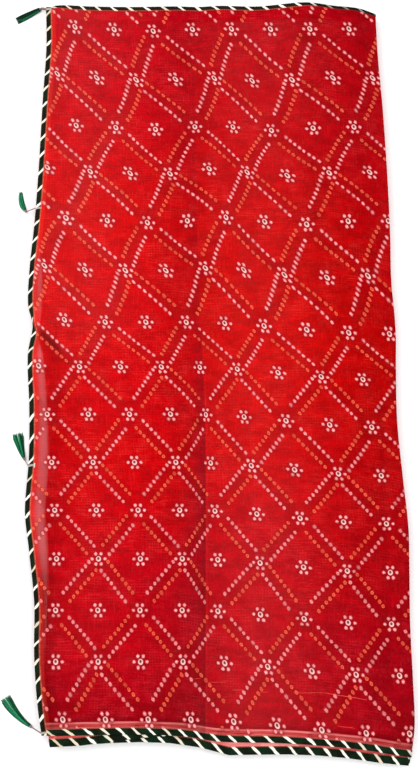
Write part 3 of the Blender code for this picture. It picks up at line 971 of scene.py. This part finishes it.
def binding_material(name, direction):
    """Green tape cut on the slant, with cream stripes and a pale stitched inner edge."""
    g = Graph(name)
    tape = TAPES[direction]
    stripes, across, place = g.map("tape")
    wobble = (g.fibres(place, 3.0, 90.0) - 0.5) * 0.16
    slanted = stripes + across * (tape.slant / MM) + wobble
    number = g.round(slanted)
    cream = g.ramp(g.size(slanted - number), tape.cream + 0.016, tape.cream - 0.024)
    fibre = g.fibres(place, 24.0, 900.0, 3.0, 0.6)
    blotch = g.fibres(place, 1.3, 70.0, 2.0, 0.6)
    green = g.paint(
        g.mix(g.ramp(blotch, 0.35, 0.7), TAPE.dark_green, TAPE.green),
        (g.ramp(fibre, 0.45, 0.8) * 0.35, TAPE.fibre),
        (tape.brown, TAPE.brown),
    )
    pale = g.mix(g.ramp(g.chance(number, 5.0), 0.0, 0.35), TAPE.faded_cream, TAPE.cream)
    pale = g.mix(g.ramp(fibre, 0.5, 0.8) * 0.35, pale, TAPE.cream_fibre)
    width = tape.width * MM
    seam = g.ramp(across, width - 0.0013, width - 0.0006)
    dash = g.ramp(g.zigzag(stripes * 8.0, 0.5), 0.08, 0.2)
    colour = g.paint(
        g.mix(cream, green, pale),
        (seam * (dash * 0.4 + 0.25), TAPE.stitching),
        (g.ramp(stripes, tape.black_from, tape.black_from + 1.2) * 0.7, TAPE.black),
    )
    values = {
        "Base Color": colour,
        "Roughness": 0.7,
        "Specular IOR Level": 0.04,
        "Sheen Weight": 0.01,
        "Sheen Roughness": 0.4,
    }
    return g.finish(values, fibre + cream * 0.15, 0.0002, 0.4)


def thread_material(row):
    """Spun thread: colour varies from strand to strand and along each one."""
    g = Graph(row.name)
    along, strand, _ = g.map("thread")
    chance = g.chance(g.floor(strand), 3.0)
    lock = g.chance(g.floor(strand / STRANDS_PER_LOCK), 5.0)
    twist = g.zigzag(along / row.twist + strand * 2.0, 1.0)
    tone = g.ramp(chance * 0.25 + twist * 0.15 + lock * 0.6, 0.15, 0.8)
    spun = g.mix(tone, srgb(*row.dark), srgb(*row.light))
    colour = g.mix(g.ramp(chance, 0.8, 0.95) * 0.8, spun, srgb(*row.bright))
    values = {"Base Color": colour, "Roughness": row.rough, "Metallic": row.metal}
    return g.finish({**values, "Specular IOR Level": 0.12}, twist, 0.0001, 0.3)


def floor_material():
    g = Graph("floor")
    place = g.value("ShaderNodeTexCoord", {}, "Object")
    colour = g.mix(g.noise(place, 9.0), FLOOR.shade, FLOOR.light)
    return g.finish({"Base Color": colour, "Roughness": 0.9, "Specular IOR Level": 0.1})


# Bindings


def tape_profile(width):
    """Rounded outline of the folded tape: distances in from its outer edge, and heights."""
    reach = [0.0, 0.18, 0.60, width * 0.35, width * 0.70, width - 0.35,
             width, width, width - 0.35, width * 0.50, 0.60, 0.18]
    high = [0.0, 0.34, 0.50, 0.62, 0.58, 0.50, 0.10, -0.10, -0.50, -0.52, -0.50, -0.34]
    return np.array(reach), np.array(high)


def surface_up(points):
    """Unit normals of a grid strip, turned to the side that faces up on the top layer."""
    normal = unit(np.cross(np.gradient(points, axis=0), np.gradient(points, axis=1)))
    return -normal if normal[-1, 0, 2] < 0 else normal


def stripe_slip(owners, x):
    """Slip of the stripes along each layer, even from its turn on the left to its turn on the right."""
    odd = owners % 2
    left = STRIPE_SLIPS[owners + odd]
    right = STRIPE_SLIPS[owners + 1 - odd]
    return left + (right - left) * between(*TURNS_AT, x)


def tape_object(name, direction, points, reach, counted):
    """Closed tape with its map of counted stripes, its ends and its material."""
    obj = grid_object(name, points, closed=True)
    add_map(obj, "tape", counted[:, None], reach * MM)
    bm = bmesh.new()
    bm.from_mesh(obj.data)
    rings = list(bm.verts)
    for ring in (rings[:len(reach)], rings[-len(reach):]):
        bm.faces.new(ring)
    bmesh.ops.recalc_face_normals(bm, faces=bm.faces)
    bm.to_mesh(obj.data)
    bm.free()
    obj.data.materials.append(binding_material("tape_" + direction, direction))
    return obj


def make_long_binding(name, direction):
    """Tape along a long edge of the cloth, through all its layers."""
    width = TAPES[direction].width
    reach, high = tape_profile(width)

    def strip(distances):
        def rule(layer, low, top, run):
            if direction == "lower":
                return low[:, None] + distances[None, :] * (1.0 if layer == TOP else HIDDEN_TAPE_SHARE)
            shows = 1 - sum(share * between(start, full, run) for share, start, full in TAPE_ROLLS)
            return top[:, None] - distances[None, :] * shows[:, None]
        return rule

    def inset(up, across):
        return np.full_like(across, END_BIND_WIDTH + TAPE_JOIN)

    points, owners = folded_surface(strip(reach), inset)
    flat, _ = folded_surface(strip(np.array([0.0, width / 2, width])), inset)
    points = points + surface_up(flat)[:, 1:2, :] * high[None, :, None]
    x = points[:, 0, 0]
    if direction == "lower":
        shown = curve(LOWER_STRIPES.at, LOWER_STRIPES.stripe, x)
        counted = np.where(owners == TOP, shown, curve(SECOND_STRIPES.at, SECOND_STRIPES.stripe, x))
    else:
        counted = curve(UPPER_STRIPES.at, UPPER_STRIPES.stripe, x)
    return tape_object(name, direction, points, reach, counted + stripe_slip(owners, x))


def make_end_binding():
    """Tape across the tasselled end, pinched where it is turned under."""
    reach, high = tape_profile(END_BIND_WIDTH)
    across = np.zeros(ROWS * 2)
    edge = lower_edge(TOP, across)
    height = upper_edge(TOP, across) - edge
    y = edge + TAPE_JOIN + (height - 2 * TAPE_JOIN) * np.linspace(0.0, 1.0, ROWS * 2)
    keep = 1 - pinch((y - edge) / height)
    points = np.stack([end_edge(y, distance * keep) for distance in reach], axis=1)
    points[..., 2] += high[None, :] * (0.4 + 0.6 * keep[:, None])
    return tape_object("end_tape", "end", points, reach, curve(END_STRIPES.at, END_STRIPES.stripe, y))


# Tassels and loose yarns


def bent(start, middle, end, f):
    """Values on the even curve through three places."""
    return start * (1 - f) * (1 - 2 * f) + middle * 4 * f * (1 - f) + end * f * (2 * f - 1)


def tubes(name, paths, radii, sides, surface):
    """Closed tubes in one mesh. The thread map holds length along and the number of the strand."""
    grids = []
    faces = []
    runs = []
    strands = []
    start = 0
    turn = 2 * np.pi * (np.arange(sides) + 0.5) / sides
    for number, (path, radius) in enumerate(zip(paths, radii)):
        path = np.asarray(path, dtype=float)
        ahead = unit(np.gradient(path, axis=0))
        side = unit(np.cross(ahead, (0.0, 0.0, 1.0)))
        rise = np.cross(side, ahead)
        ring = side[:, None] * np.cos(turn)[None, :, None] + rise[:, None] * np.sin(turn)[None, :, None]
        points = path[:, None, :] + ring * np.broadcast_to(radius, len(path))[:, None, None]
        grids.append(points.reshape(-1, 3))
        last = start + (len(path) - 1) * sides
        for i in range(start, last, sides):
            for j in range(sides):
                k = (j + 1) % sides
                faces.append((i + j, i + k, i + sides + k, i + sides + j))
        faces.append(tuple(start + j for j in reversed(range(sides))))
        faces.append(tuple(last + j for j in range(sides)))
        runs.append(np.repeat(run_length(path) * MM, sides))
        strands.append(np.full(len(path) * sides, number + 0.5))
        start += len(path) * sides
    obj = mesh_object(name, np.concatenate(grids), faces)
    add_map(obj, "thread", np.concatenate(runs), np.concatenate(strands))
    obj.data.materials.append(surface)
    return obj


def on_top_layer(x, y):
    """Height of the top layer under points given by X and Y."""
    across = np.linspace(0.0, 1.0, 700)
    high = []
    for one_x, one_y in zip(x, y):
        line = layer_surface(TOP, across, np.full(across.shape, one_y))
        high.append(np.interp(one_x, line[:, 0], line[:, 2]))
    return np.array(high)


def make_slubs(surface):
    paths = []
    radii = []
    f = np.linspace(0.0, 1.0, 12)
    for x0, y0, x1, y1 in SLUBS:
        x = x0 + (x1 - x0) * f
        y = y0 + (y1 - y0) * f + 0.15 * np.sin(9 * f + x0)
        paths.append(np.stack([x, y, on_top_layer(x, y) + 0.12], axis=-1))
        radii.append(0.14 + 0.24 * np.sin(np.pi * f) ** 0.6 * (0.7 + 0.3 * np.sin(14 * f + y0)))
    return tubes("slub_yarns", paths, radii, 6, surface)


def make_skirt(row, rng, surface):
    """Fine strands that spread from the head and lie on each other."""
    head, middle, end = (np.array([[*place, 0.0]]) for place in (row.head, row.middle, row.end))
    steps = np.linspace(0.0, 1.0, 9)
    ahead = unit(np.gradient(bent(head, middle, end, steps[:, None]), axis=0))
    side = np.stack([-ahead[:, 1], ahead[:, 0], np.zeros(len(steps))], axis=1)
    half = bent(row.neck / 2, row.belly / 2, row.spread / 2, steps)
    paths = []
    for place in np.sort(rng.uniform(-1.0, 1.0, THREADS)):
        level = rng.uniform(0.0, 1.0)
        reach = 1.0 + rng.uniform(-0.15, 0.04)
        wave = rng.uniform(-0.4, 0.4) * np.sin(steps * rng.uniform(2.0, 5.0) + rng.uniform(0, 6))
        aside = place * half + wave * steps + math.copysign(row.parting, place - 0.1) * steps ** 2
        path = bent(head, middle, end, (steps * reach)[:, None]) + side * aside[:, None]
        root_rise = HEAD_RISE + (level - 0.5) * 2.4 * math.sqrt(max(1 - place * place, 0.0))
        rest_rise = 0.35 + level * (SKIRT_RISE - 0.35) * (1 - 0.35 * steps) * (1 - 0.5 * place * place)
        path[:, 2] = root_rise + (rest_rise - root_rise) * soft(steps * 1.8)
        paths.append(path)
    radius = THREAD_RADIUS.root + (THREAD_RADIUS.end - THREAD_RADIUS.root) * steps
    skirt = tubes(row.name + "_skirt", paths, [radius] * THREADS, 4, surface)
    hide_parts(row.name)
    return skirt


def make_head(row, head, run, surfaces):
    """Soft bundle under a winding of pale thread. run is the tassel's direction."""
    along = np.linspace(*BUNDLE_ENDS, len(BUNDLE))
    bulge = row.neck / 2 * np.array(BUNDLE)
    bundle = [head + np.outer(along, run)]
    radius = np.minimum(bulge, HEAD_RISE - 0.1)
    core = tubes(row.name + "_core", bundle, [radius], 14, surfaces[row.strands])
    count = WINDING.turns * WINDING.steps + 1
    angle = np.linspace(0.0, 2 * np.pi * WINDING.turns, count)
    travel = np.linspace(WINDING.start, WINDING.end, count)
    around = np.minimum(np.interp(travel, along, bulge), HEAD_RISE - 0.3) + 0.10
    coil = head + np.outer(travel, run) + np.outer(around * np.cos(angle), (-run[1], run[0], 0.0))
    coil[:, 2] += around * np.sin(angle)
    return [core, tubes(row.name + "_winding", [coil], [WINDING.radius], 5, surfaces["pale_winding"])]


def make_thread(row, neck_end, surface):
    """Holding thread: two plies twisted round each other, from the binding to the head."""
    root = end_edge(np.array([float(row.root)]))[0] - (0.3, 0.0, 0.0)
    knee = root + (neck_end - root) * 0.5 + (0.0, 0.0, 1.0)
    share = np.linspace(0.0, 1.0, 44)
    plies = []
    for ply in range(2):
        twist = share * 2 * np.pi * 6 + np.pi * ply
        lie = bent(root, knee, neck_end, share[:, None])
        lie[:, 2] += 0.95 * row.ply * np.cos(twist)
        lie[:, 1] += 0.95 * row.ply * np.sin(twist)
        plies.append(lie)
    return tubes(row.name + "_thread", plies, [row.ply] * 2, 6, surface)


def make_stitches(row, surface):
    """Stitches that fix the thread across the binding, and upright ones just inside it at a knot."""
    stitches = []
    for offset in (-1.1, 0.0, 1.1):
        y = row.root + offset + np.array([-0.5, 0.0, 0.4, 0.5])
        base = end_edge(y, np.array([0.1, 2.4, 5.6, END_BIND_WIDTH + 0.9]))
        base[:, 2] += (0.75, 0.95, 0.85, 0.25)
        stitches.append(base)
    sizes = [0.36] * 3
    if row.knot:
        for offset in (0.0, 1.1):
            y = row.root + np.array([-3.4, -1.2, 1.2, 3.4])
            base = end_edge(y, END_BIND_WIDTH + 1.0 + offset)
            base[:, 2] += (0.1, 0.6, 0.6, 0.1)
            stitches.append(base)
            sizes.append(0.62)
    return tubes(row.name + "_stitch", stitches, sizes, 6, surface)


def make_tassel(row, rng, surfaces):
    skirt = make_skirt(row, rng, surfaces[row.strands])
    head = np.array([*row.head, HEAD_RISE])
    run = unit(np.array([*row.middle, HEAD_RISE]) - head)
    bundle, winding = make_head(row, head, run, surfaces)
    cord = make_thread(row, head - run * 2.6, surfaces["holding_thread"])
    return [skirt, bundle, winding, cord, make_stitches(row, surfaces["white_stitch"])]


# Build


def main():
    rng = np.random.default_rng(7)
    surfaces = {row.name: thread_material(row) for row in THREAD_LOOKS}
    cloth = make_cloth()
    lower = make_long_binding("lower_tape", "lower")
    upper = make_long_binding("upper_tape", "upper")
    end = make_end_binding()
    slubs = make_slubs(surfaces["slub"])
    tassels = []
    for row in TASSELS:
        tassels += make_tassel(row, rng, surfaces)

    for obj in [cloth, lower, upper, end, slubs, *tassels]:
        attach(obj, "root")
    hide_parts("sari_cloth")
    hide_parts("lower_edge_binding")
    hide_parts("upper_edge_binding")
    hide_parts("end_binding")


def make_stage():
    mesh = bpy.data.meshes.new("floor")
    bm = bmesh.new()
    bmesh.ops.create_grid(bm, x_segments=8, y_segments=8, size=3.0)
    bm.to_mesh(mesh)
    bm.free()
    mesh.materials.append(floor_material())
    floor = link("floor", mesh)
    floor.location = (0.0, 0.0, -0.0002)


def make_lights():
    world = bpy.data.worlds.new("studio")
    world.use_nodes = True
    background = world.node_tree.nodes["Background"].inputs
    background["Color"].default_value = (1.0, 1.0, 1.0, 1.0)
    background["Strength"].default_value = WORLD_LIGHT
    bpy.context.scene.world = world
    for row in LAMPS:
        light = bpy.data.lights.new(row.name, "AREA")
        light.shape = "SQUARE"
        light.size = row.size
        light.energy = row.power
        obj = link(row.name, light)
        obj.location = row.place
        obj.rotation_euler = (-Vector(row.place)).to_track_quat("-Z", "Y").to_euler()


def make_camera():
    camera = bpy.data.cameras.new("camera")
    camera.sensor_fit = "VERTICAL"
    camera.sensor_height = SENSOR
    camera.lens = LENS
    camera.clip_start = 0.01
    obj = link("camera", camera)
    back = VIEW_DISTANCE * math.sin(VIEW_TILT)
    obj.location = (VIEW_AIM[0], VIEW_AIM[1] - back, VIEW_DISTANCE * math.cos(VIEW_TILT))
    obj.rotation_euler = (VIEW_TILT, 0.0, 0.0)
    bpy.context.scene.camera = obj
    bpy.context.scene.view_settings.view_transform = "Standard"


main()
make_stage()
make_lights()
make_camera()
